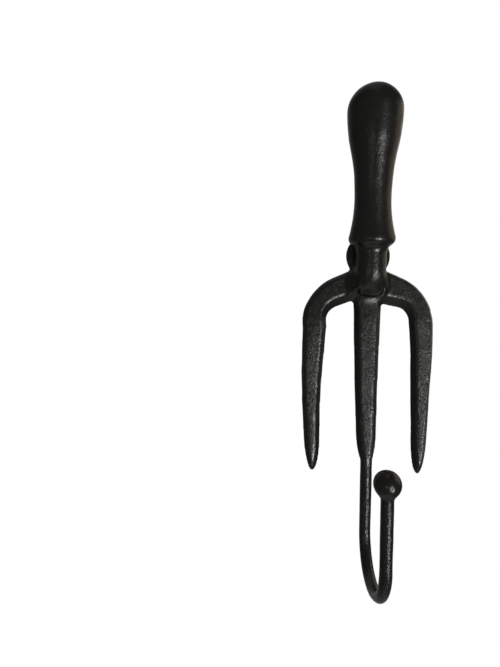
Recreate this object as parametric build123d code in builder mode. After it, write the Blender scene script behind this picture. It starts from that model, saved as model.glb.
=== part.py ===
from build123d import *
from math import acos, atan2, cos, degrees, hypot, radians, sin, tan
import os

# Cast-iron wall hook in the form of a small hand fork: a turned-looking handle, a ferrule with a
# round wall boss behind it, three bevelled tines, and a J hook with a ball end below the middle tine.
# Millimetres. The wall is the plane Y = 0, the hook stands out towards -Y, +Z is up as it hangs, and
# the origin is the centre of the boss's back face. "out" is a distance in front of the wall.

# Wall boss and its blind hanging hole
boss_radius = 10.1
boss_foot_radius = 8.5
boss_depth = 7.0
boss_edge_round = 0.8
hanging_hole_radius = 4.5
hanging_hole_depth = 5.0

# Ferrule and handle, turned about one axis that leans out from the wall
ferrule_radius = 6.7
ferrule_out = 12.5
ferrule_reach = 19.3
ferrule_belly_drop = 6.9
ferrule_belly_round = 14.0
ferrule_belly_turn = 12.0
ferrule_root_depth = 6.5
ferrule_root_level = 5.0
ferrule_root_inset = 0.2
ferrule_root_round = 5.0
handle_lean = 5.5
collar_radius = 10.25
collar_level = 7.2
collar_bead = 2.6
collar_undercut = 45.0
collar_root_round = 1.0
waist_radius = 8.0
waist_level = 24.0
bulb_radius = 12.0
bulb_level = 61.1
waist_round = 106.0
crown_height = 11.6
crown_round = 11.0

# Fork head: parting plane, front and back of it, and the three tines
tine_out = 5.0
fork_front = 2.9
fork_back = 3.0
fork_thinning = 0.2
shoulder_apex_drop = 3.0
shoulder_slope = 23.5
shoulder_round = 24.0
tine_pitch = 25.0
side_root_width = 12.0
side_tip_width = 7.6
side_tip_length = 18.6
middle_root_width = 12.8
middle_tip_width = 9.7
middle_tip_length = 20.5
side_reach = 99.4
middle_reach = 98.2
crotch_drop = 21.8
crotch_slope = 12.6
crotch_round = 6.5
root_round = 1.2

# Bevels of the front face and draft of the back face, measured inwards from the parting outline
bevel_outer = 1.5
bevel_inner = 2.2
bevel_crotch = 4.8
bevel_tip = 4.0
back_draft = 0.9
back_tip = 5.0
ridge_round = 0.4

# J hook and its ball
rod_radius = 2.5
knee_rise = 6.0
knee_round = 40.0
bend_radius = 18.5
bend_drop = 129.8
front_lean = 3.0
ball_radius = 5.4
ball_drop = 94.6
ball_neck_round = 1.5


def leaning_plane(out, lean):
    """Plane facing away from the wall at a distance out, its upward axis leaning out by an angle."""
    up = Vector(0, -sin(radians(lean)), cos(radians(lean)))
    return Plane((0, -out, 0), x_dir=(1, 0, 0), z_dir=Vector(1, 0, 0).cross(up))


def fork_half(plane, outer, inner, crotch, tip):
    """Right half of the fork head's outline on a plane, drawn in by the four amounts given."""
    apex = (0, -shoulder_apex_drop - outer / cos(radians(shoulder_slope)))
    side_centre = tine_pitch + (inner - outer) / 2
    side_root = (side_root_width - outer - inner) / 2
    side_tip = (side_tip_width - outer - inner) / 2
    side_end_level = side_tip_length - side_reach
    middle_root = middle_root_width / 2 - inner
    middle_tip = middle_tip_width / 2 - inner
    middle_end_level = middle_tip_length - middle_reach
    shoulder_x = side_centre + side_root
    shoulder = (shoulder_x, apex[1] - shoulder_x * tan(radians(shoulder_slope)))
    inner_root = (middle_root, crotch - crotch_drop)
    crotch_x = side_centre - side_root
    crotch_run = crotch_x - middle_root
    crotch_corner = (crotch_x, inner_root[1] - crotch_run * tan(radians(crotch_slope)))
    with BuildSketch(plane) as outline:
        with BuildLine():
            FilletPolyline(
                apex,
                shoulder,
                (side_centre + side_tip, side_end_level),
                radius=[shoulder_round - outer],
            )
            EllipticalCenterArc(
                (side_centre, side_end_level),
                side_tip,
                side_tip_length - tip,
                arc_size=-180,
            )
            FilletPolyline(
                (side_centre - side_tip, side_end_level),
                crotch_corner,
                inner_root,
                (middle_tip, middle_end_level),
                radius=[crotch_round + inner, root_round],
            )
            EllipticalCenterArc(
                (0, middle_end_level),
                middle_tip,
                middle_tip_length - tip,
                arc_size=-90,
            )
            Line((0, middle_end_level - middle_tip_length + tip), apex)
        make_face()
    return outline.sketch


handle_plane = leaning_plane(ferrule_out, handle_lean)
handle_axis = Axis(handle_plane.origin, handle_plane.y_dir)

# The flare is the arc that is tangent to the collar's bead and stands upright at the waist; the waist
# and the bulb are two arcs that meet at the steepest point of the swell.
bead_centre = (collar_radius - collar_bead, collar_level)
flare_run = waist_radius - bead_centre[0]
flare_rise = waist_level - bead_centre[1]
flare_round = (flare_run**2 + flare_rise**2 - collar_bead**2) / (2 * (collar_bead - flare_run))
flare_angle = degrees(atan2(flare_rise, flare_round + flare_run))
swell_angle = 2 * degrees(atan2(bulb_radius - waist_radius, bulb_level - waist_level))

# The belly starts at its drop above the end of the ferrule, and the nose is a round that carries on
# from the belly to a small flat end.
belly_turn = radians(ferrule_belly_turn)
nose_run = ferrule_belly_drop - ferrule_belly_round * sin(belly_turn)
nose_round = nose_run / (1 - sin(belly_turn))
nose_flat = ferrule_radius - ferrule_belly_round * (1 - cos(belly_turn)) - nose_round * cos(belly_turn)

# The crown is a round that leaves the bulb upright and runs on into a cap centred on the axis.
crown_run = bulb_radius - crown_round
crown_turn = 90 - 2 * degrees(atan2(crown_height - crown_round, crown_run))
cap_radius = crown_round + crown_run / cos(radians(crown_turn))
cap_centre = (0, bulb_level - crown_run * tan(radians(crown_turn)))

# The shank leaves the middle tine at the knee and runs back until it is tangent to the bend, whose
# heel just reaches the wall.
knee = (-tine_out, knee_rise - middle_reach)
bend_centre = (-rod_radius - bend_radius, -bend_drop)
knee_to_centre = (knee[0] - bend_centre[0], knee[1] - bend_centre[1])
shank_lean = degrees(
    atan2(knee_to_centre[1], knee_to_centre[0]) - acos(bend_radius / hypot(*knee_to_centre))
)
heel = (
    bend_centre[0] + bend_radius * cos(radians(shank_lean)),
    bend_centre[1] + bend_radius * sin(radians(shank_lean)),
)
shank_top = (-tine_out, middle_tip_length - middle_reach)

parting = fork_half(leaning_plane(tine_out, 0), 0, 0, 0, 0)
front = fork_half(
    leaning_plane(tine_out + fork_front, fork_thinning),
    bevel_outer,
    bevel_inner,
    bevel_crotch,
    bevel_tip,
)
rear = fork_half(
    leaning_plane(tine_out - fork_back, -fork_thinning),
    back_draft,
    back_draft,
    back_draft,
    back_tip,
)

with BuildPart() as fork_hook:
    # Fork head: ruled from the parting outline forward to the bevelled face and back to the rear face
    loft(sections=[parting.face(), front.face()], ruled=True)
    loft(sections=[parting.face(), rear.face()], ruled=True)
    mirror(about=Plane.YZ)
    fillet(fork_hook.faces().sort_by(Axis.Y)[0].edges(), radius=ridge_round)

    # Round wall boss
    with BuildSketch(Plane.XZ):
        Circle(boss_foot_radius)
    extrude(amount=boss_depth, taper=-degrees(atan2(boss_radius - boss_foot_radius, boss_depth)))
    boss_edges = fork_hook.edges(Select.LAST).filter_by(GeomType.CIRCLE)
    fillet(boss_edges.sort_by(Axis.Y)[0], radius=boss_edge_round)

    # J hook
    with BuildLine(Plane.YZ) as rod_path:
        FilletPolyline(shank_top, knee, heel, radius=[knee_round])
        bend = JernArc(
            heel,
            (sin(radians(shank_lean)), -cos(radians(shank_lean))),
            bend_radius,
            front_lean - shank_lean - 180,
        )
        front_rise = (-ball_drop - (bend @ 1).Z) / cos(radians(front_lean))
        front_leg = Line(bend @ 1, (bend @ 1) + (bend % 1) * front_rise)
    with BuildSketch(Plane(rod_path.line @ 0, z_dir=rod_path.line % 0)):
        Circle(rod_radius)
    sweep()
    with Locations(Plane(front_leg @ 1, z_dir=front_leg % 1)):
        Sphere(ball_radius)
    fillet(fork_hook.edges(Select.NEW), radius=ball_neck_round)

    # Handle, collar and ferrule
    with BuildSketch(handle_plane):
        with BuildLine():
            end = Line((0, -ferrule_reach), (nose_flat, -ferrule_reach))
            nose = CenterArc(
                (nose_flat, nose_round - ferrule_reach),
                nose_round,
                start_angle=-90,
                arc_size=90 - ferrule_belly_turn,
            )
            belly = JernArc(nose @ 1, nose % 1, ferrule_belly_round, ferrule_belly_turn)
            bead = CenterArc(
                bead_centre,
                collar_bead,
                start_angle=-collar_undercut,
                arc_size=collar_undercut + flare_angle,
            )
            undercut_run = (bead @ 0).X - ferrule_radius
            undercut_rise = undercut_run / tan(radians(collar_undercut))
            collar_base = (ferrule_radius, (bead @ 0).Y - undercut_rise)
            FilletPolyline(belly @ 1, collar_base, bead @ 0, radius=collar_root_round)
            flare = TangentArc(bead @ 1, (waist_radius, waist_level), tangent=bead % 1)
            waist = JernArc(flare @ 1, flare % 1, waist_round, -swell_angle)
            bulb = TangentArc(waist @ 1, (bulb_radius, bulb_level), tangent=waist % 1)
            CenterArc((crown_run, bulb_level), crown_round, start_angle=0, arc_size=crown_turn)
            cap = CenterArc(cap_centre, cap_radius, start_angle=crown_turn, arc_size=90 - crown_turn)
            Line(cap @ 1, end @ 0)
        make_face()
    revolve(axis=handle_axis)

    # Straight-sided root that joins the back of the ferrule to the fork head and the boss
    root_side = ferrule_radius - ferrule_root_inset
    root_end = ferrule_root_inset - ferrule_reach
    with BuildSketch(handle_plane):
        with BuildLine():
            root_edge = FilletPolyline(
                (root_side, ferrule_root_level),
                (root_side, root_end),
                (-root_side, root_end),
                (-root_side, ferrule_root_level),
                radius=ferrule_root_round,
            )
            Line(root_edge @ 1, root_edge @ 0)
        make_face()
    extrude(amount=-ferrule_root_depth)

    # Hanging hole in the back of the boss
    with Locations(Plane.XZ.offset(0)):
        Hole(hanging_hole_radius, depth=hanging_hole_depth)

fork_hook.part.label = "fork_hook"
os.makedirs("parts", exist_ok=True)
export_step(fork_hook.part, "parts/fork_hook.step")
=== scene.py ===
import bpy
import numpy as np
from math import acos, atan2, cos, hypot, pi, radians, sin, tan
from mathutils import Matrix, Vector


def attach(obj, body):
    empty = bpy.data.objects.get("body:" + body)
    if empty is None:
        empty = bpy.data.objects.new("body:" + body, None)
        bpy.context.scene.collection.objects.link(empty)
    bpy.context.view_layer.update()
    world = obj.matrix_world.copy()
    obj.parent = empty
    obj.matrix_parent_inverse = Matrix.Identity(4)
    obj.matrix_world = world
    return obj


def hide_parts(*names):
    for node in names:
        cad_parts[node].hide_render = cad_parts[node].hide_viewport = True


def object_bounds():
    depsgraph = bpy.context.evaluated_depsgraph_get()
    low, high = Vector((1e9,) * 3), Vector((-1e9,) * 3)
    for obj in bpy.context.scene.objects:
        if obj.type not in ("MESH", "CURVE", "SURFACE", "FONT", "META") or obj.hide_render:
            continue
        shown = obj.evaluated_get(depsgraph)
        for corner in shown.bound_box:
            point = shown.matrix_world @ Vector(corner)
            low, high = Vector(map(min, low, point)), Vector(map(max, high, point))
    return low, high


# A black painted iron casting: a wall hook in the form of a small hand fork.
# Shapes are worked out in millimetres and put into the mesh in metres.
# The wall is y = 0, the hook stands out towards -y, z is up, and the origin is the middle of the boss's back.

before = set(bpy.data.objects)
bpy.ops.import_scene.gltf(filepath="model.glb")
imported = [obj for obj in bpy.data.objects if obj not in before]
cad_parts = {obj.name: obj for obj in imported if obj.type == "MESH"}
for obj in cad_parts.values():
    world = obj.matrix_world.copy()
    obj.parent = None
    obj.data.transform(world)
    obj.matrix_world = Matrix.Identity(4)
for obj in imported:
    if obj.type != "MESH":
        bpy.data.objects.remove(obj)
cadLow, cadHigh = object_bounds()
mm = 0.001
print("frame: nodes", sorted(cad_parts), "box", [round(v, 4) for v in (*cadLow, *cadHigh)])


# small tools for curves and grids

def ramp(value, start, end):  # 0 at start, 1 at end, straight between them and level beyond
    return np.clip((value - start) / (end - start), 0, 1)


def arcRun(centre, radius, start, end, count):  # points of a circle between two angles
    a = np.linspace(start, end, count)
    return np.stack([centre[0] + radius * np.cos(a), centre[1] + radius * np.sin(a)], axis=1)


def roundedRun(corners, rounds, count):  # polyline whose inner corners become arcs of the given radii
    corners = [np.array(c, float) for c in corners]
    run = [corners[0][None]]
    for before, corner, after, radius in zip(corners, corners[1:], corners[2:], rounds):
        a = (before - corner) / np.linalg.norm(before - corner)
        b = (after - corner) / np.linalg.norm(after - corner)
        half = acos(np.clip(a @ b, -1, 1)) / 2
        centre = corner + (a + b) / np.linalg.norm(a + b) * radius / sin(half)
        start, end = corner + a * radius / tan(half) - centre, corner + b * radius / tan(half) - centre
        a0, a1 = atan2(start[1], start[0]), atan2(end[1], end[0])
        a1 += 2 * pi * round((a0 - a1) / (2 * pi))  # the short way round
        run.append(arcRun(centre, radius, a0, a1, count))
    run.append(corners[-1][None])
    return np.concatenate(run)


# corner numbers of a grid's quads, row by row; a closed grid's last column joins its first
def gridQuads(rows, cols, closed):
    r, c = np.meshgrid(np.arange(rows - 1), np.arange(cols if closed else cols - 1), indexing="ij")
    d = (c + 1) % cols
    corners = [r * cols + c, r * cols + d, (r + 1) * cols + d, (r + 1) * cols + c]
    return np.stack(corners, axis=-1).reshape(-1, 4)


def closedGrid(points):  # rows of closed rings become quads, and the first and last ring become end caps
    rows, cols = points.shape[:2]
    caps = [np.arange(cols)[::-1], (rows - 1) * cols + np.arange(cols)]
    return points.reshape(-1, 3), gridQuads(rows, cols, True), caps


# profile of (radius, level) rows turned about an axis: point = origin + level*up + radius*(cos a*x + sin a*back)
def turned(profile, origin, up, turns, front=None):
    up, across = np.array(up, float), np.array([1.0, 0, 0])
    back = np.cross(up, across)
    a = np.linspace(0, 2 * pi, turns, endpoint=False)
    depth = np.sin(a)[None] * np.ones((len(profile), 1))
    if front is not None:  # the front half is drawn back by a share at each level
        depth = np.where(depth < 0, depth * front[:, None], depth)
    ring = np.cos(a)[None, :, None] * across + depth[:, :, None] * back
    return closedGrid(np.array(origin) + profile[:, 1, None, None] * up + profile[:, 0, None, None] * ring)


def rodAlong(path, radius, turns):  # circle carried along a path in the plane x = 0, square to it
    along = np.gradient(path, axis=0)
    along /= np.linalg.norm(along, axis=1)[:, None]
    a = np.linspace(0, 2 * pi, turns, endpoint=False)
    side = np.stack([-along[:, 1], along[:, 0]], axis=1)
    grid = np.zeros((len(path), turns, 3))
    grid[:, :, 0] = radius * np.cos(a)
    grid[:, :, 1:] = path[:, None] + radius * np.sin(a)[None, :, None] * side[:, None]
    return closedGrid(grid)


# handle, collar and ferrule: one turned form whose axis leans out from the wall

handle = {
    "out": 12.5, "lean": 5.5, "turns": 128, "poleGap": 0.01,  # poleGap: angle at the pole that the end cap closes
    "ferruleRadius": 6.7, "reach": 18.5, "bellyDrop": 6.9, "bellyRound": 14.0, "bellyTurn": 12.0,
    "domeDrop": 12.0, "domeRound": 12.9, "domeLeast": 0.05,
    "rootDepth": 6.5, "rootLevel": 5.0, "rootInset": 0.2, "rootRound": 5.0, "rootFillet": 1.6,
    "filletFrom": -6.0, "filletFull": -10.0,  # the root's fillet grows between these levels
    "collarRadius": 10.25, "collarLevel": 6.8, "bead": 3.3, "undercut": 55.0, "collarRoot": 1.0,
    "waistRadius": 8.0, "waistLevel": 24.0, "waistRound": 106.0,
    "bulbRadius": 12.0, "bulbLevel": 61.1, "crownHeight": 11.6, "crownRound": 11.0,
}


# radius against level: nose, ferrule, collar, flare, waist, bulb and crown, as arcs each tangent to the next
def handleProfile(h):
    beadAt = (h["collarRadius"] - h["bead"], h["collarLevel"])
    run, rise = h["waistRadius"] - beadAt[0], h["waistLevel"] - beadAt[1]
    flareRound = (run**2 + rise**2 - h["bead"] ** 2) / (2 * (h["bead"] - run))
    flareAngle = atan2(rise, flareRound + run)
    swell = 2 * atan2(h["bulbRadius"] - h["waistRadius"], h["bulbLevel"] - h["waistLevel"])
    bulbRound = ((h["bulbRadius"] - h["waistRadius"]) / (1 - cos(swell))) - h["waistRound"]
    under = radians(h["undercut"])
    beadStart = (beadAt[0] + h["bead"] * cos(under), beadAt[1] - h["bead"] * sin(under))
    corner = (h["ferruleRadius"], beadStart[1] - (beadStart[0] - h["ferruleRadius"]) / tan(under))
    turn = radians(h["bellyTurn"])
    noseRound = (h["bellyDrop"] - h["bellyRound"] * sin(turn)) / (1 - sin(turn))
    noseFlat = h["ferruleRadius"] - h["bellyRound"] * (1 - cos(turn)) - noseRound * cos(turn)
    bellyAt = (h["ferruleRadius"] - h["bellyRound"], h["bellyDrop"] - h["reach"])
    nose = arcRun((noseFlat, noseRound - h["reach"]), noseRound, -pi / 2, -turn, 20)
    belly = arcRun(bellyAt, h["bellyRound"], -turn, 0, 8)
    root = roundedRun([belly[-1], corner, beadStart], [h["collarRoot"]], 10)
    barrel = np.linspace(belly[-1], root[1], 24)
    bead = arcRun(beadAt, h["bead"], -under, flareAngle, 16)
    flare = arcRun((h["waistRadius"] + flareRound, h["waistLevel"]), flareRound, pi + flareAngle, pi, 20)
    waist = arcRun((h["waistRadius"] + h["waistRound"], h["waistLevel"]), h["waistRound"], pi, pi - swell, 24)
    bulb = arcRun((h["bulbRadius"] - bulbRound, h["bulbLevel"]), bulbRound, -swell, 0, 24)
    crownRun = h["bulbRadius"] - h["crownRound"]
    crownTurn = pi / 2 - 2 * atan2(h["crownHeight"] - h["crownRound"], crownRun)
    crown = arcRun((crownRun, h["bulbLevel"]), h["crownRound"], 0, crownTurn, 14)
    capAt, capRound = (0, h["bulbLevel"] - crownRun * tan(crownTurn)), h["crownRound"] + crownRun / cos(crownTurn)
    cap = arcRun(capAt, capRound, crownTurn, pi / 2 - h["poleGap"], 26)
    below = [nose, belly[1:], barrel[1:-1], root[1:-1], bead]
    above = [flare[1:], waist[1:], bulb[1:], crown[1:], cap[1:]]
    return np.concatenate(below + above)


lean = radians(handle["lean"])
handleUp = (0, -sin(lean), cos(lean))
handleOut = (0, -cos(lean), -sin(lean))


# the ferrule's front bends back sooner than its sides, on one round down to the fork's face:
# share = (ferrule's radius - fall of that round) / radius
def domeShare(h, profile):
    radius, drop = profile[:, 0], h["domeDrop"] - h["reach"] - profile[:, 1]
    fall = h["domeRound"] - np.sqrt(h["domeRound"] ** 2 - np.clip(drop, 0, h["domeRound"]) ** 2)
    return np.clip((h["ferruleRadius"] - fall) / np.minimum(radius, h["ferruleRadius"]), h["domeLeast"], 1)


profile = handleProfile(handle)
handleSkin = turned(profile, (0, -handle["out"], 0), handleUp, handle["turns"], domeShare(handle, profile))


# slot outline on the handle's middle plane, carried straight back and flared by a fillet at the fork's face
def ferruleRoot(h):
    w, end, fillet = h["ferruleRadius"] - h["rootInset"], h["rootInset"] - h["reach"], h["rootFillet"]
    start, full = h["filletFrom"], h["filletFull"]

    def slot(grow):  # the slot grown by an amount
        half = w + grow
        sides = np.array([(half, level) for level in (h["rootLevel"], start, full)])
        corners = [(half, full), (half, end - grow), (-half, end - grow), (-half, full)]
        bottom = roundedRun(corners, [h["rootRound"] + grow] * 2, 16)
        return np.concatenate([sides, bottom[1:-1], sides[::-1] * (-1, 1)])

    def ring(grow, lift):  # slot grown below the arms' tops, lifted above the fork's face, or deep below it
        run = slot(0)
        run = run + ramp(run[:, 1:], start, full) * (slot(grow) - run)
        face = h["out"] + run[:, 1] * sin(lean) - fork["out"] - fork["front"]
        depth = np.full(len(run), h["rootDepth"]) if lift is None else face - np.minimum(lift, face)
        flat = run[:, 0, None] * np.array([1.0, 0, 0]) + run[:, 1, None] * np.array(handleUp)
        return np.array([0, -h["out"], 0]) + flat - depth[:, None] * np.array(handleOut)

    arc = [ring(fillet * (1 - sin(a)), fillet * (1 - cos(a))) for a in np.linspace(0, pi / 2, 9)]
    return closedGrid(np.stack([ring(fillet, None), *arc, ring(0, np.inf)]))  # up to the middle plane


print("handle and ferrule:", len(handleSkin[0]), "points")


# fork head: one outline drawn in by different amounts, carried forward to the bevelled face and back to the rear

fork = {
    "out": 5.0, "front": 2.9, "back": 3.0, "thinning": 0.2,
    "apexDrop": 3.0, "slope": 23.5, "shoulderRound": 24.0,
    "pitch": 25.0, "sideRoot": 12.0, "sideTip": 7.6, "sideTipLength": 18.6, "sideReach": 99.4,
    "middleRoot": 12.8, "middleTip": 9.7, "middleTipLength": 20.5, "middleReach": 98.2,
    "crotchDrop": 21.8, "crotchSlope": 12.6, "crotchRound": 6.5, "rootRound": 1.2,
    "bevel": (1.5, 2.2, 4.8, 4.0), "draft": (0.9, 0.9, 0.9, 5.0),  # outer, inner, crotch, tip
}


# half outline from the apex round the shoulder, the pointed tips and the crotch, then mirrored;
# a tip is half an ellipse: centre + half width*cos t, end level + tip length*sin t
def forkOutline(f, outer, inner, crotch, tip):
    slope = radians(f["slope"])
    apex = (0, -f["apexDrop"] - outer / cos(slope))
    centre = f["pitch"] + (inner - outer) / 2
    sideRoot, sideTip = (f["sideRoot"] - outer - inner) / 2, (f["sideTip"] - outer - inner) / 2
    sideEnd, middleEnd = f["sideTipLength"] - f["sideReach"], f["middleTipLength"] - f["middleReach"]
    middleRoot, middleTip = f["middleRoot"] / 2 - inner, f["middleTip"] / 2 - inner
    shoulder = (centre + sideRoot, apex[1] - (centre + sideRoot) * tan(slope))
    root = (middleRoot, crotch - f["crotchDrop"])
    corner = (centre - sideRoot, root[1] - (centre - sideRoot - middleRoot) * tan(radians(f["crotchSlope"])))
    t = np.linspace(0, -pi, 33)[:, None]
    half = np.concatenate([
        roundedRun([apex, shoulder, (centre + sideTip, sideEnd)], [f["shoulderRound"] - outer], 40)[:-1],
        np.hstack([centre + sideTip * np.cos(t), sideEnd + (f["sideTipLength"] - tip) * np.sin(t)]),
        roundedRun([(centre - sideTip, sideEnd), corner, root, (middleTip, middleEnd)],
                   [f["crotchRound"] + inner, f["rootRound"]], 24)[1:-1],
        np.hstack([middleTip * np.cos(t / 2), middleEnd + (f["middleTipLength"] - tip) * np.sin(t / 2)]),
    ])
    return np.concatenate([half, half[-2:0:-1] * (-1, 1)])


def outlineAt(outline, out, leanBy):  # outline laid on a plane in front of the wall that leans by an angle
    a = radians(leanBy)
    return np.stack([outline[:, 0], -out - outline[:, 1] * sin(a), outline[:, 1] * cos(a)], axis=1)


forkSkin = closedGrid(np.stack([
    outlineAt(forkOutline(fork, *fork["draft"]), fork["out"] - fork["back"], -fork["thinning"]),
    outlineAt(forkOutline(fork, 0, 0, 0, 0), fork["out"], 0),
    outlineAt(forkOutline(fork, *fork["bevel"]), fork["out"] + fork["front"], fork["thinning"]),
]))
rootSkin = ferruleRoot(handle)
print("fork head:", len(forkSkin[0]) + len(rootSkin[0]), "points")


# wall boss, and the plug that will drill its hanging hole from behind; both turned about the wall's normal

boss = {
    "radius": 10.1, "footRadius": 8.5, "depth": 7.0, "edgeRound": 0.8, "turns": 128,
    "holeRadius": 4.5, "holeDepth": 5.0, "holeTurns": 64, "plugBehind": 1.0,
    "capShare": 0.5, "plugCapShare": 0.3,  # radius of the flat end caps, as a share
}
wallOut = (0, -1, 0)
bossProfile = np.concatenate([
    [[boss["radius"] * boss["capShare"], 0], [boss["footRadius"], 0]],
    arcRun((boss["radius"] - boss["edgeRound"], boss["depth"] - boss["edgeRound"]),
           boss["edgeRound"], 0, pi / 2, 8),
    [[boss["radius"] * boss["capShare"], boss["depth"]]],
])
bossSkin = turned(bossProfile, (0, 0, 0), wallOut, boss["turns"])
plugCap = boss["holeRadius"] * boss["plugCapShare"]
plugProfile = np.array([
    [plugCap, -boss["plugBehind"]], [boss["holeRadius"], -boss["plugBehind"]],
    [boss["holeRadius"], boss["holeDepth"]], [plugCap, boss["holeDepth"]],
])
plugSkin = turned(plugProfile, (0, 0, 0), wallOut, boss["holeTurns"])

# J rod and ball

rod = {
    "radius": 2.66, "kneeRise": 6.0, "kneeRound": 40.0, "bendRadius": 18.3, "bendDrop": 129.2, "turns": 48,
    "frontLean": 3.0, "frontSet": 0.35, "ballRadius": 5.64, "ballDrop": 94.3, "ballTurns": 96, "poleGap": 0.02,
    "neck": ((2.66, -6.5), (2.75, -5.8), (4.85, -3.0), (4.0, -1.5)),  # radius, level from the ball's centre
}
frontLean = radians(rod["frontLean"])
legUp = (0, -sin(frontLean), cos(frontLean))


def rodPath(r):  # (y, z): down from the middle tine, back to the wall, round the bend, up to the ball
    knee = np.array([-fork["out"], r["kneeRise"] - fork["middleReach"]])
    centre = np.array([-r["radius"] - r["bendRadius"], -r["bendDrop"]])
    away = knee - centre
    shank = atan2(away[1], away[0]) - acos(r["bendRadius"] / hypot(*away))
    heel = centre + r["bendRadius"] * np.array([cos(shank), sin(shank)])
    top = (-fork["out"], fork["middleTipLength"] - fork["middleReach"])
    lead = roundedRun([top, knee, heel], [r["kneeRound"]], 16)
    bend = arcRun(centre, r["bendRadius"], shank, frontLean - pi, 72)
    rise = (-r["ballDrop"] - bend[-1, 1]) / cos(frontLean)
    ball = bend[-1] + rise * np.array(legUp[1:])
    return np.concatenate([lead, bend[1:], [ball]]), ball


rodLine, ballAt = rodPath(rod)
rodSkin = rodAlong(rodLine, rod["radius"], rod["turns"])
polar = np.linspace(rod["poleGap"], pi - rod["poleGap"], 64)
ballProfile = rod["ballRadius"] * np.stack([np.sin(polar), -np.cos(polar)], axis=1)
ballSkin = turned(ballProfile, (0, *ballAt), (0, 0, 1), rod["ballTurns"])
neckSkin = turned(np.array(rod["neck"]), (0, *ballAt), legUp, rod["ballTurns"])  # the ball narrows to the rod
print("boss, rod and ball:", sum(len(s[0]) for s in (bossSkin, rodSkin, ballSkin, neckSkin)), "points")


# one casting: the forms are fused, their inner corners filled, and the skin gets the lumps of a sand mould

casting = {
    "voxel": 0.45,
    "rate": 0.5, "easeBack": 0.52,  # how far a point goes in a round, and back again when eased
    "normalsEvery": 10,  # rounds between fresh normals
    "fillRounds": 16, "coveRounds": 160, "leftCoveRounds": 200, "collarRounds": 120,
    "ridgeRounds": 3, "rightRounds": 5, "easeRounds": 5,
    "flanks": ((-5.2, -15.0, -9.8), (6.0, -12.0, 7.8)),  # each from x, y on the ferrule to x on the arm
    "flankSink": 0.3,  # how far a flank's foot lies below the arm's face
    "crownTop": 0.10, "crownTip": 0.28,  # how much the tines' faces stand out along their middles
    "tines": (  # middle, half width of the face at root and tip, sideways set as (level, shift) pairs
        (0.0, 4.2, 2.65,
         ((-25, 0.0), (-42, -0.2), (-56, -0.35), (-80, -0.25), (-92, -0.1), (-96, 0.0))),
        (-25.35, 4.15, 1.95,
         ((-25, 0.0), (-33, 0.5), (-42, 0.0), (-56, -0.7), (-68, -0.85), (-82, -0.5), (-94, -0.2), (-100, -0.2))),
        (25.35, 4.15, 1.95,
         ((-25, -0.2), (-36, 0.2), (-46, 0.25), (-62, -0.3), (-76, -0.6), (-88, -1.0), (-100, -1.4))),
    ),
    "rightLong": 1.6, "leftCrotch": 1.3,  # the right tine is cast a little longer, the left crotch higher
    # faces fall back towards the tips, by tipThinning times the square of the drop below thinFrom
    "tipThinning": 0.0008, "thinFrom": -60, "thinRun": 36, "middleThinning": 0.6,
    # a flat on the crown: its direction, distance from the crown's centre, how full, and how far down it reaches
    "flatTowards": (0.66, 0.0, 0.75), "flatAt": 11.25, "flatFull": 0.8, "flatDrop": 8,
    "lumps": ((9.0, 0.10, 3), (3.6, 0.035, 11), (1.5, 0.015, 29)),  # size, height, seed
}


def meshOf(name, skins):  # joins grids into one mesh, in millimetres
    points, faces, offset = [], [], 0
    for skinPoints, quads, caps in skins:
        points.append(skinPoints)
        faces += (quads + offset).tolist() + [(cap + offset).tolist() for cap in caps]
        offset += len(skinPoints)
    mesh = bpy.data.meshes.new(name)
    mesh.from_pydata(np.concatenate(points), [], faces)
    mesh.validate()
    return mesh


def placed(name, data):  # a new object in the scene
    thing = bpy.data.objects.new(name, data)
    bpy.context.scene.collection.objects.link(thing)
    return thing


def evaluated(name, mesh, kind, **values):  # the mesh after one modifier
    thing = placed(name, mesh)
    modifier = thing.modifiers.new(kind, kind)
    for key, value in values.items():
        setattr(modifier, key, value)
    made = bpy.data.meshes.new_from_object(thing.evaluated_get(bpy.context.evaluated_depsgraph_get()))
    bpy.data.objects.remove(thing)
    return made


def readArray(source, key, width, kind=np.float32):  # values of a mesh's points or edges, as rows
    values = np.empty(len(source) * width, kind)
    source.foreach_get(key, values)
    return values.reshape(-1, width).astype(float if kind == np.float32 else int)


def setPoints(mesh, points):  # puts moved points back into a mesh
    mesh.vertices.foreach_set("co", points.astype(np.float32).ravel())
    mesh.update()


def neighbourMean(points, edges):  # mean place of each point's neighbours, whole mesh at once
    a, b = edges[:, 0], edges[:, 1]
    ends = np.concatenate([a, b])
    others = np.concatenate([b, a])
    count = np.bincount(ends, minlength=len(points))
    total = np.stack([np.bincount(ends, points[others, k], len(points)) for k in range(3)], axis=1)
    return total / np.maximum(count, 1)[:, None]


# random heights from -1 to 1 on a cubic lattice, blended by smooth steps between its corners;
# a corner's height comes from its three whole numbers and the seed, mixed by large primes
def lumpNoise(points, size, seed):
    at = points / size + seed * 7.31
    cell = np.floor(at).astype(np.int64)
    step = at - cell
    step = step * step * step * (step * (step * 6 - 15) + 10)
    total = np.zeros(len(points))
    for dx, dy, dz in np.ndindex(2, 2, 2):
        key = (cell[:, 0] + dx) * 73856093 ^ (cell[:, 1] + dy) * 19349663
        key = key ^ (cell[:, 2] + dz) * 83492791 ^ seed * 2654435
        key = (key ^ (key >> 13)) * 1274126177
        height = ((key ^ (key >> 16)) & 65535) / 32767.5 - 1
        weight = np.abs(1 - dx - step[:, 0]) * np.abs(1 - dy - step[:, 1]) * np.abs(1 - dz - step[:, 2])
        total += height * weight
    return total


rough = meshOf("castingForms", [handleSkin, rootSkin, forkSkin, bossSkin, rodSkin, ballSkin, neckSkin])
skin = evaluated("castingForms", rough, "REMESH", mode="VOXEL", voxel_size=casting["voxel"], adaptivity=0)
points, edges = readArray(skin.vertices, "co", 3), readArray(skin.edges, "vertices", 2, np.int32)
print("fused casting:", len(points), "points")


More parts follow.
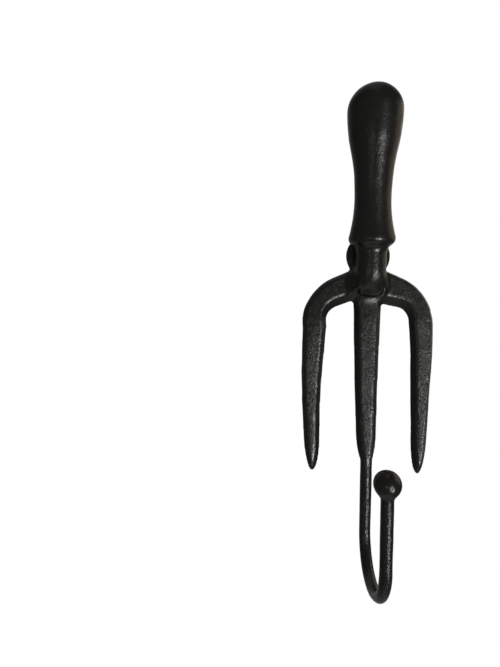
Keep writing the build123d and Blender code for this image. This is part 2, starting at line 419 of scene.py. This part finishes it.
# chosen points move along their normals towards their neighbours' mean, by amounts kept within low and high:
# outwards only, it fills hollows; inwards only, it rounds ridges
def worn(chosen, rate, rounds, low, high):
    number = np.full(len(points), -1)
    number[chosen] = np.arange(len(chosen))
    near = number[edges]
    near = near[(near >= 0).all(axis=1)]
    for turn in range(rounds):
        if turn % casting["normalsEvery"] == 0:
            setPoints(skin, points)
            normals = readArray(skin.vertices, "normal", 3)[chosen]
        here = points[chosen]
        lift = np.einsum("ij,ij->i", neighbourMean(here, near) - here, normals)
        points[chosen] = here + (rate * np.clip(lift, low, high))[:, None] * normals


# the bounds of each part below are in millimetres: x from the middle, y from the wall, z from the boss's middle
x, y, z = points.T.copy()
armFace = -fork["out"] - fork["front"]
for topX, topY, footX in casting["flanks"]:  # y runs straight from the ferrule's side down to the arm's face
    slope = ramp(x, topX, footX)
    flank = topY + slope * (armFace + casting["flankSink"] - topY)
    inside = (slope > 0) * (slope < 1) * (y < -6.5) * ramp(z, -7, -11) * ramp(z, -19, -16)
    points[:, 1] += inside * np.minimum(flank - y, 0)
underFerrule = ramp(np.abs(x), 11, 8) * ramp(z, -25, -21) * ramp(z, -5, -9)
underCollar = (np.abs(x) < 12) * ramp(z, -8, -4) * ramp(z, 10, 6)
leftOfFerrule = underFerrule * ramp(x, -3, -5)
coves = (
    (underFerrule, casting["coveRounds"]),
    (leftOfFerrule, casting["leftCoveRounds"]),
    (underCollar, casting["collarRounds"]),
)
worn(np.arange(len(points)), casting["rate"], casting["fillRounds"], 0, 1)  # paint fills hollow corners a little
for where, rounds in coves:  # the ferrule and the collar are cast with wide coves
    chosen = np.flatnonzero(where > 0)
    worn(chosen, casting["rate"] * where[chosen], rounds, 0, 1)
onFork = (y < -5.8) & (z < -12) & (z > -97)
worn(np.flatnonzero(onFork), casting["rate"], casting["ridgeRounds"], -1, 0)  # the fork's ridges are rounded,
facing = readArray(skin.vertices, "normal", 3)[:, 0]
rightRidges = np.flatnonzero(onFork & (facing > 0.08) & (z < -30))
worn(rightRidges, casting["rate"], casting["rightRounds"], -1, 0)  # those on the right more
for turn in range(casting["easeRounds"]):  # ease in and push back: edges soften and the rod keeps its size
    points += casting["rate"] * (neighbourMean(points, edges) - points)
    points -= casting["easeBack"] * (neighbourMean(points, edges) - points)
setPoints(skin, points)


def bowed(level, bow):  # sideways set of a tine at each level, read between the listed (level, shift) pairs
    return np.interp(-level, [-row[0] for row in bow], [row[1] for row in bow])


x, y, z = points.T
share = ramp(z, -25, -95)  # 0 at the arms, 1 at the tips
for middle, rootHalf, tipHalf, bow in casting["tines"]:
    across = (x - middle) / (rootHalf + (tipHalf - rootHalf) * share)
    onFace = (np.abs(x - middle) < 9) * ramp(z, -26, -32) * ramp(y, -6.2, -7.4)
    height = casting["crownTop"] + (casting["crownTip"] - casting["crownTop"]) * share
    points[:, 1] -= onFace * height * np.clip(1 - across**2, 0, 1)
    points[:, 0] += (np.abs(x - middle) < 9.5) * (z < -25) * (z > -101) * bowed(z, bow)
thinner = casting["tipThinning"] * np.clip(casting["thinFrom"] - z, 0, casting["thinRun"]) ** 2 * (z > -103)
runsOn = casting["middleThinning"] * ramp(z, -94, -82)  # less on the middle tine, which runs on into the rod
thinner *= np.where(np.abs(x) < 9, runsOn, 1)
points[:, 1] += thinner * np.clip((-y - fork["out"]) / fork["front"], 0, 1)
nearCrotch = ramp(x, -17, -8) * ramp(x, -4, -5.5) * ramp(z, -12, -17) * ramp(z, -30, -25)
points[:, 2] += casting["leftCrotch"] * nearCrotch
points[:, 2] -= (x > 15) * casting["rightLong"] * ramp(z, -55, -100)
points[:, 0] += (z < -80) * rod["frontSet"] * ramp(y, -20, -35)  # the rod's front leg is set to the right
towards = np.array(casting["flatTowards"])
crownAt = np.array([0, -handle["out"], 0]) + handle["bulbLevel"] * np.array(handleUp)
beyond = np.clip((points - crownAt) @ towards - casting["flatAt"], 0, None)
beyond *= points[:, 2] > handle["bulbLevel"] - casting["flatDrop"]
points -= casting["flatFull"] * beyond[:, None] * towards
setPoints(skin, points)

normals = readArray(skin.vertices, "normal", 3)
for size, height, seed in casting["lumps"]:
    points += height * lumpNoise(points, size, seed)[:, None] * normals
setPoints(skin, points)

plug = placed("holePlug", meshOf("holePlug", [plugSkin]))
body = evaluated("castingDrilled", skin, "BOOLEAN", operation="DIFFERENCE", object=plug, solver="FAST")
bpy.data.objects.remove(plug)

points = readArray(body.vertices, "co", 3) * mm
points = np.clip(points, np.array(cadLow), np.array(cadHigh))  # stays inside the solid's own box
setPoints(body, points)
body.shade_smooth()
body.name = "forkHookCasting"
hook = placed("forkHookCasting", body)
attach(hook, "root")
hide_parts("fork_hook")
print("casting:", len(body.vertices), "points", len(body.polygons), "faces")


# where the paint lies thick enough to calm the sand grain, and where ridges that face the lamps get a painted
# highlight

coat = {
    "arms": 0.6, "handle": 0.58, "ferrule": 0.60, "collar": 0.75,  # 0 leaves the grain as it is, 1 hides it
    "rodBack": 0.42, "rodFront": 0.34, "ball": 0.85, "lowRidges": 0.4, "highRidges": 0.85,
    "ridge": (0.007, 0.017),  # a ridge stands this far above its neighbours' mean
    "highlightTowards": (0.8, -0.3, -0.5), "highlightFacing": (0.25, 0.5),  # ridges that face right and down, towards the lamps, take a painted highlight
}

x, y, z = (points / mm).T
edges, normals = readArray(body.edges, "vertices", 2, np.int32), readArray(body.vertices, "normal", 3)
stands = np.einsum("ij,ij->i", points - neighbourMean(points, edges), normals) / mm  # above 0 on ridges
ridge = ramp(stands, *coat["ridge"])
ridgeCalm = coat["lowRidges"] + (coat["highRidges"] - coat["lowRidges"]) * ramp(z, -42, -32)
fromBall = np.hypot(np.hypot(x, y - ballAt[0]), z - ballAt[1])
calm = np.max([
    coat["arms"] * ramp(z, -48, -24) * ramp(z, 4, -4),
    coat["handle"] * ramp(z, -4, 4),
    coat["ferrule"] * ramp(y, -9.5, -11.5) * ramp(z, 4, 0) * ramp(z, -24, -21),
    coat["collar"] * ramp(z, -3, 0) * ramp(z, 11, 8),
    np.where(y < -25, coat["rodFront"], coat["rodBack"]) * ramp(z, -94, -100) * (np.abs(x) < 8),
    coat["ball"] * ramp(fromBall, 7.5, 6.0),
    ridgeCalm * ridge * (z < -12),  # paint runs thin and smooth over the fork's ridges
], axis=0)
# painted highlight: ridges that face the lamps at right and below are marked for a lighter colour
facingLamps = ramp(normals @ np.array(coat["highlightTowards"]), *coat["highlightFacing"])
facingLamps = facingLamps * (y < -6) * (y > -14) * (z > -97)  # on the fork only, and on its left below the arm
facingLamps *= np.where(x > 0, ramp(z, -13, -16), ramp(z, -26, -32))
for name, values in (("grain", 1 - calm), ("ridgeHighlight", ridge * facingLamps)):
    body.attributes.new(name, "FLOAT", "POINT").data.foreach_set("value", values.astype(np.float32))
print("grain and wear: mean", round(float(np.mean(1 - calm)), 3), round(float(np.mean(ridge * facingLamps)), 4))


# black paint over cast skin

paint = {
    "dark": (0.0205, 0.0205, 0.0192, 1), "light": (0.0355, 0.0345, 0.0325, 1), "edge": (0.50, 0.50, 0.50, 1),
    # worn: a lighter grey, the painted highlight on ridges that face the lamps
    "worn": (0.080, 0.080, 0.077, 1),
    "metal": 0.80, "roughLow": 0.20, "roughHigh": 0.30,
    "grainSize": 0.62, "grainDepth": 0.34, "waveSize": 3.6, "waveDepth": 0.06,
    "speckSize": 0.30, "speckDepth": 0.015, "patchSize": 14,
}


def node(tree, kind, place, **values):  # a new node; values go to its inputs by name, or to its settings
    made = tree.nodes.new(kind)
    made.location = place
    for key, value in values.items():
        if key in made.inputs:
            made.inputs[key].default_value = value
        else:
            setattr(made, key, value)
    return made


def nodesOf(owner):  # tree and link call of a material or world
    owner.use_nodes = True
    return owner.node_tree, owner.node_tree.links.new


def blackPaint(p):  # patchy black, with a painted highlight on ridges that face the lamps, over bumps of broad waves, sand grains and specks
    mat = bpy.data.materials.new("blackPaintOnCastIron")
    tree, link = nodesOf(mat)
    shader = tree.nodes["Principled BSDF"]
    coords = node(tree, "ShaderNodeTexCoord", (-1500, 0))

    def noise(place, size, **values):  # noise of a size in millimetres, fixed to the casting
        made = node(tree, "ShaderNodeTexNoise", place, Scale=1 / (size * mm), **values)
        link(coords.outputs["Object"], made.inputs["Vector"])
        return made.outputs["Fac"]

    patch = noise((-1250, 200), p["patchSize"], Detail=5.0, Roughness=0.65)
    grain = noise((-1250, -200), p["grainSize"], Detail=1.0)  # grains of sand
    wave = noise((-1250, -500), p["waveSize"], Detail=2.0)
    specks = noise((-1250, -800), p["speckSize"], Detail=2.0)

    tone = node(tree, "ShaderNodeMix", (-900, 250), data_type="RGBA")  # colour: patches, then the painted highlight on ridges
    tone.inputs[6].default_value, tone.inputs[7].default_value = p["dark"], p["light"]
    link(patch, tone.inputs[0])
    # painted highlight: ridges that face the lamps are mixed towards the lighter worn grey
    highlightHere = node(tree, "ShaderNodeAttribute", (-900, 450), attribute_name="ridgeHighlight")
    worn = node(tree, "ShaderNodeMix", (-650, 300), data_type="RGBA")
    worn.inputs[7].default_value = p["worn"]
    link(highlightHere.outputs["Fac"], worn.inputs[0])
    link(tone.outputs[2], worn.inputs[6])
    link(worn.outputs[2], shader.inputs["Base Color"])

    rough = node(tree, "ShaderNodeMapRange", (-900, 0))  # the noise lies mostly between 0.3 and 0.7
    rough.inputs["From Min"].default_value, rough.inputs["From Max"].default_value = 0.3, 0.7
    rough.inputs["To Min"].default_value, rough.inputs["To Max"].default_value = p["roughLow"], p["roughHigh"]
    link(wave, rough.inputs["Value"])
    link(rough.outputs["Result"], shader.inputs["Roughness"])

    grainHere = node(tree, "ShaderNodeAttribute", (-1500, -400), attribute_name="grain")
    fine = node(tree, "ShaderNodeMath", (-850, -250), operation="MULTIPLY")
    link(grain, fine.inputs[0])
    link(grainHere.outputs["Fac"], fine.inputs[1])
    broad = node(tree, "ShaderNodeBump", (-700, -500), Strength=1.0, Distance=p["waveDepth"] * mm)
    sand = node(tree, "ShaderNodeBump", (-500, -400), Strength=1.0, Distance=p["grainDepth"] * mm)
    tiny = node(tree, "ShaderNodeBump", (-300, -300), Strength=1.0, Distance=p["speckDepth"] * mm)
    link(wave, broad.inputs["Height"])
    link(fine.outputs[0], sand.inputs["Height"])
    link(specks, tiny.inputs["Height"])
    link(broad.outputs["Normal"], sand.inputs["Normal"])
    link(sand.outputs["Normal"], tiny.inputs["Normal"])
    link(tiny.outputs["Normal"], shader.inputs["Normal"])

    shader.inputs["Metallic"].default_value = p["metal"]  # mostly a dark mirror, with a little matt black
    shader.inputs["Specular IOR Level"].default_value = 0.0
    shader.inputs["Specular Tint"].default_value = p["edge"]
    return mat


body.materials.append(blackPaint(paint))
print("paint done")


# studio: white surround, pale floor, dim room, soft lamps from the right and below

studio = {
    "ambient": 0.35, "floorLevel": -2.10, "floorSide": 8.0, "floorShade": 0.1, "floorGlow": 1.09,
    "paper": (0.85, 0.85, 0.85, 1), "paperRough": 0.9,
    "roomSize": 2.2, "roomGlow": 0.24, "roomTurn": 130, "roomLow": -64, "roomHigh": 76,
    "lamps": (  # name, direction from the hook, distance, width, height, watts, colour
        ("windowLow", (0.43, -0.81, -0.40), 1.5, 0.36, 0.46, 18.5, (0.96, 0.98, 1.0)),
        ("windowHigh", (0.48, -0.87, 0.13), 1.2, 0.34, 0.66, 0.76, (0.96, 0.98, 1.0)),
        ("fillLeft", (-0.42, -0.87, -0.21), 0.60, 0.12, 0.12, 0.20, (1.0, 1.0, 1.0)),
        ("warmWallRight", (0.871, 0.406, 0.276), 0.80, 0.80, 0.52, 3.0, (1.0, 0.84, 0.64)),
    ),
    "aim": (0, -20 * mm, -40 * mm),
}


def seenWhite(tree, place):  # 1 for camera, glossy and transmission rays
    rays = node(tree, "ShaderNodeLightPath", place)
    first = node(tree, "ShaderNodeMath", (place[0] + 200, place[1]), operation="MAXIMUM")
    both = node(tree, "ShaderNodeMath", (place[0] + 400, place[1]), operation="MAXIMUM")
    tree.links.new(rays.outputs["Is Camera Ray"], first.inputs[0])
    tree.links.new(rays.outputs["Is Glossy Ray"], first.inputs[1])
    tree.links.new(first.outputs[0], both.inputs[0])
    tree.links.new(rays.outputs["Is Transmission Ray"], both.inputs[1])
    return both.outputs[0]


world = bpy.data.worlds.new("whiteSurround")
bpy.context.scene.world = world
tree, link = nodesOf(world)
sky = tree.nodes["Background"]
level = node(tree, "ShaderNodeMapRange", (-200, 0))
level.inputs["To Min"].default_value, level.inputs["To Max"].default_value = studio["ambient"], 1.0
link(seenWhite(tree, (-900, 0)), level.inputs["Value"])
link(level.outputs["Result"], sky.inputs["Strength"])
sky.inputs["Color"].default_value = (1, 1, 1, 1)

# floor: pale paper that shows as white to those rays, and keeps a share of the hook's shadow
side, low = studio["floorSide"] / 2, studio["floorLevel"]
floorMesh = bpy.data.meshes.new("paleFloor")
floorMesh.from_pydata([(-side, -side, low), (side, -side, low), (side, side, low), (-side, side, low)],
                      [], [(0, 1, 2, 3)])
floor = placed("paleFloor", floorMesh)
floorMat = bpy.data.materials.new("palePaper")
tree, link = nodesOf(floorMat)
paper = tree.nodes["Principled BSDF"]
paper.inputs["Base Color"].default_value = studio["paper"]
paper.inputs["Roughness"].default_value = studio["paperRough"]
glow = node(tree, "ShaderNodeEmission", (0, -200), Strength=studio["floorGlow"])
share = node(tree, "ShaderNodeMath", (0, 200), operation="MULTIPLY")
share.inputs[1].default_value = 1 - studio["floorShade"]
blend = node(tree, "ShaderNodeMixShader", (300, 0))
link(seenWhite(tree, (-700, 300)), share.inputs[0])
link(share.outputs[0], blend.inputs[0])
link(paper.outputs[0], blend.inputs[1])
link(glow.outputs[0], blend.inputs[2])
link(blend.outputs[0], tree.nodes["Material Output"].inputs["Surface"])
floorMesh.materials.append(floorMat)

# dim room in front of the white backdrop, beyond the lamps: point = size*(cos e*sin a, -cos e*cos a, sin e)
turns = np.radians(np.linspace(-studio["roomTurn"], studio["roomTurn"], 53))
rises = np.radians(np.linspace(studio["roomLow"], studio["roomHigh"], 29))
a, e = np.meshgrid(turns, rises)
roomPoints = studio["roomSize"] * np.stack([np.cos(e) * np.sin(a), -np.cos(e) * np.cos(a), np.sin(e)], axis=-1)
roomMesh = bpy.data.meshes.new("dimRoom")
roomMesh.from_pydata(roomPoints.reshape(-1, 3), [], gridQuads(*a.shape, False).tolist())
room = placed("dimRoom", roomMesh)
room.visible_camera = False
roomMat = bpy.data.materials.new("dimWalls")
tree, link = nodesOf(roomMat)
wall = node(tree, "ShaderNodeEmission", (0, -200), Strength=studio["roomGlow"])
link(wall.outputs[0], tree.nodes["Material Output"].inputs["Surface"])
roomMesh.materials.append(roomMat)

for name, direction, distance, width, height, watts, colour in studio["lamps"]:
    lamp = bpy.data.lights.new(name, "AREA")
    lamp.shape, lamp.size, lamp.size_y, lamp.energy = "RECTANGLE", width, height, watts
    lamp.color = colour
    stand = placed(name, lamp)
    toward = Vector(direction).normalized()
    stand.location = Vector(studio["aim"]) + toward * distance
    stand.rotation_euler = toward.to_track_quat("Z", "Y").to_euler()
    stand.visible_camera = False

cameraFit = {  # place, lens and sensor in millimetres, turns in radians, nearest in metres
    "at": (-52.512, -237.141, -31.071), "yaw": 0.00751, "tilt": -0.02011, "roll": -0.00168,
    "lens": 36.0, "sensor": 36.0, "nearest": 0.01,
}
lens = bpy.data.cameras.new("photoCamera")
lens.sensor_fit, lens.sensor_width, lens.lens = "HORIZONTAL", cameraFit["sensor"], cameraFit["lens"]
lens.clip_start = cameraFit["nearest"]
camera = placed("photoCamera", lens)
turn = Matrix.Rotation(cameraFit["yaw"], 4, "Z") @ Matrix.Rotation(cameraFit["tilt"], 4, "X")
turn = turn @ Matrix.Rotation(cameraFit["roll"], 4, "Y") @ Matrix.Rotation(pi / 2, 4, "X")
camera.matrix_world = Matrix.Translation(Vector(cameraFit["at"]) * mm) @ turn
bpy.context.scene.camera = camera
bpy.context.scene.view_settings.view_transform = "Standard"
print("studio done")
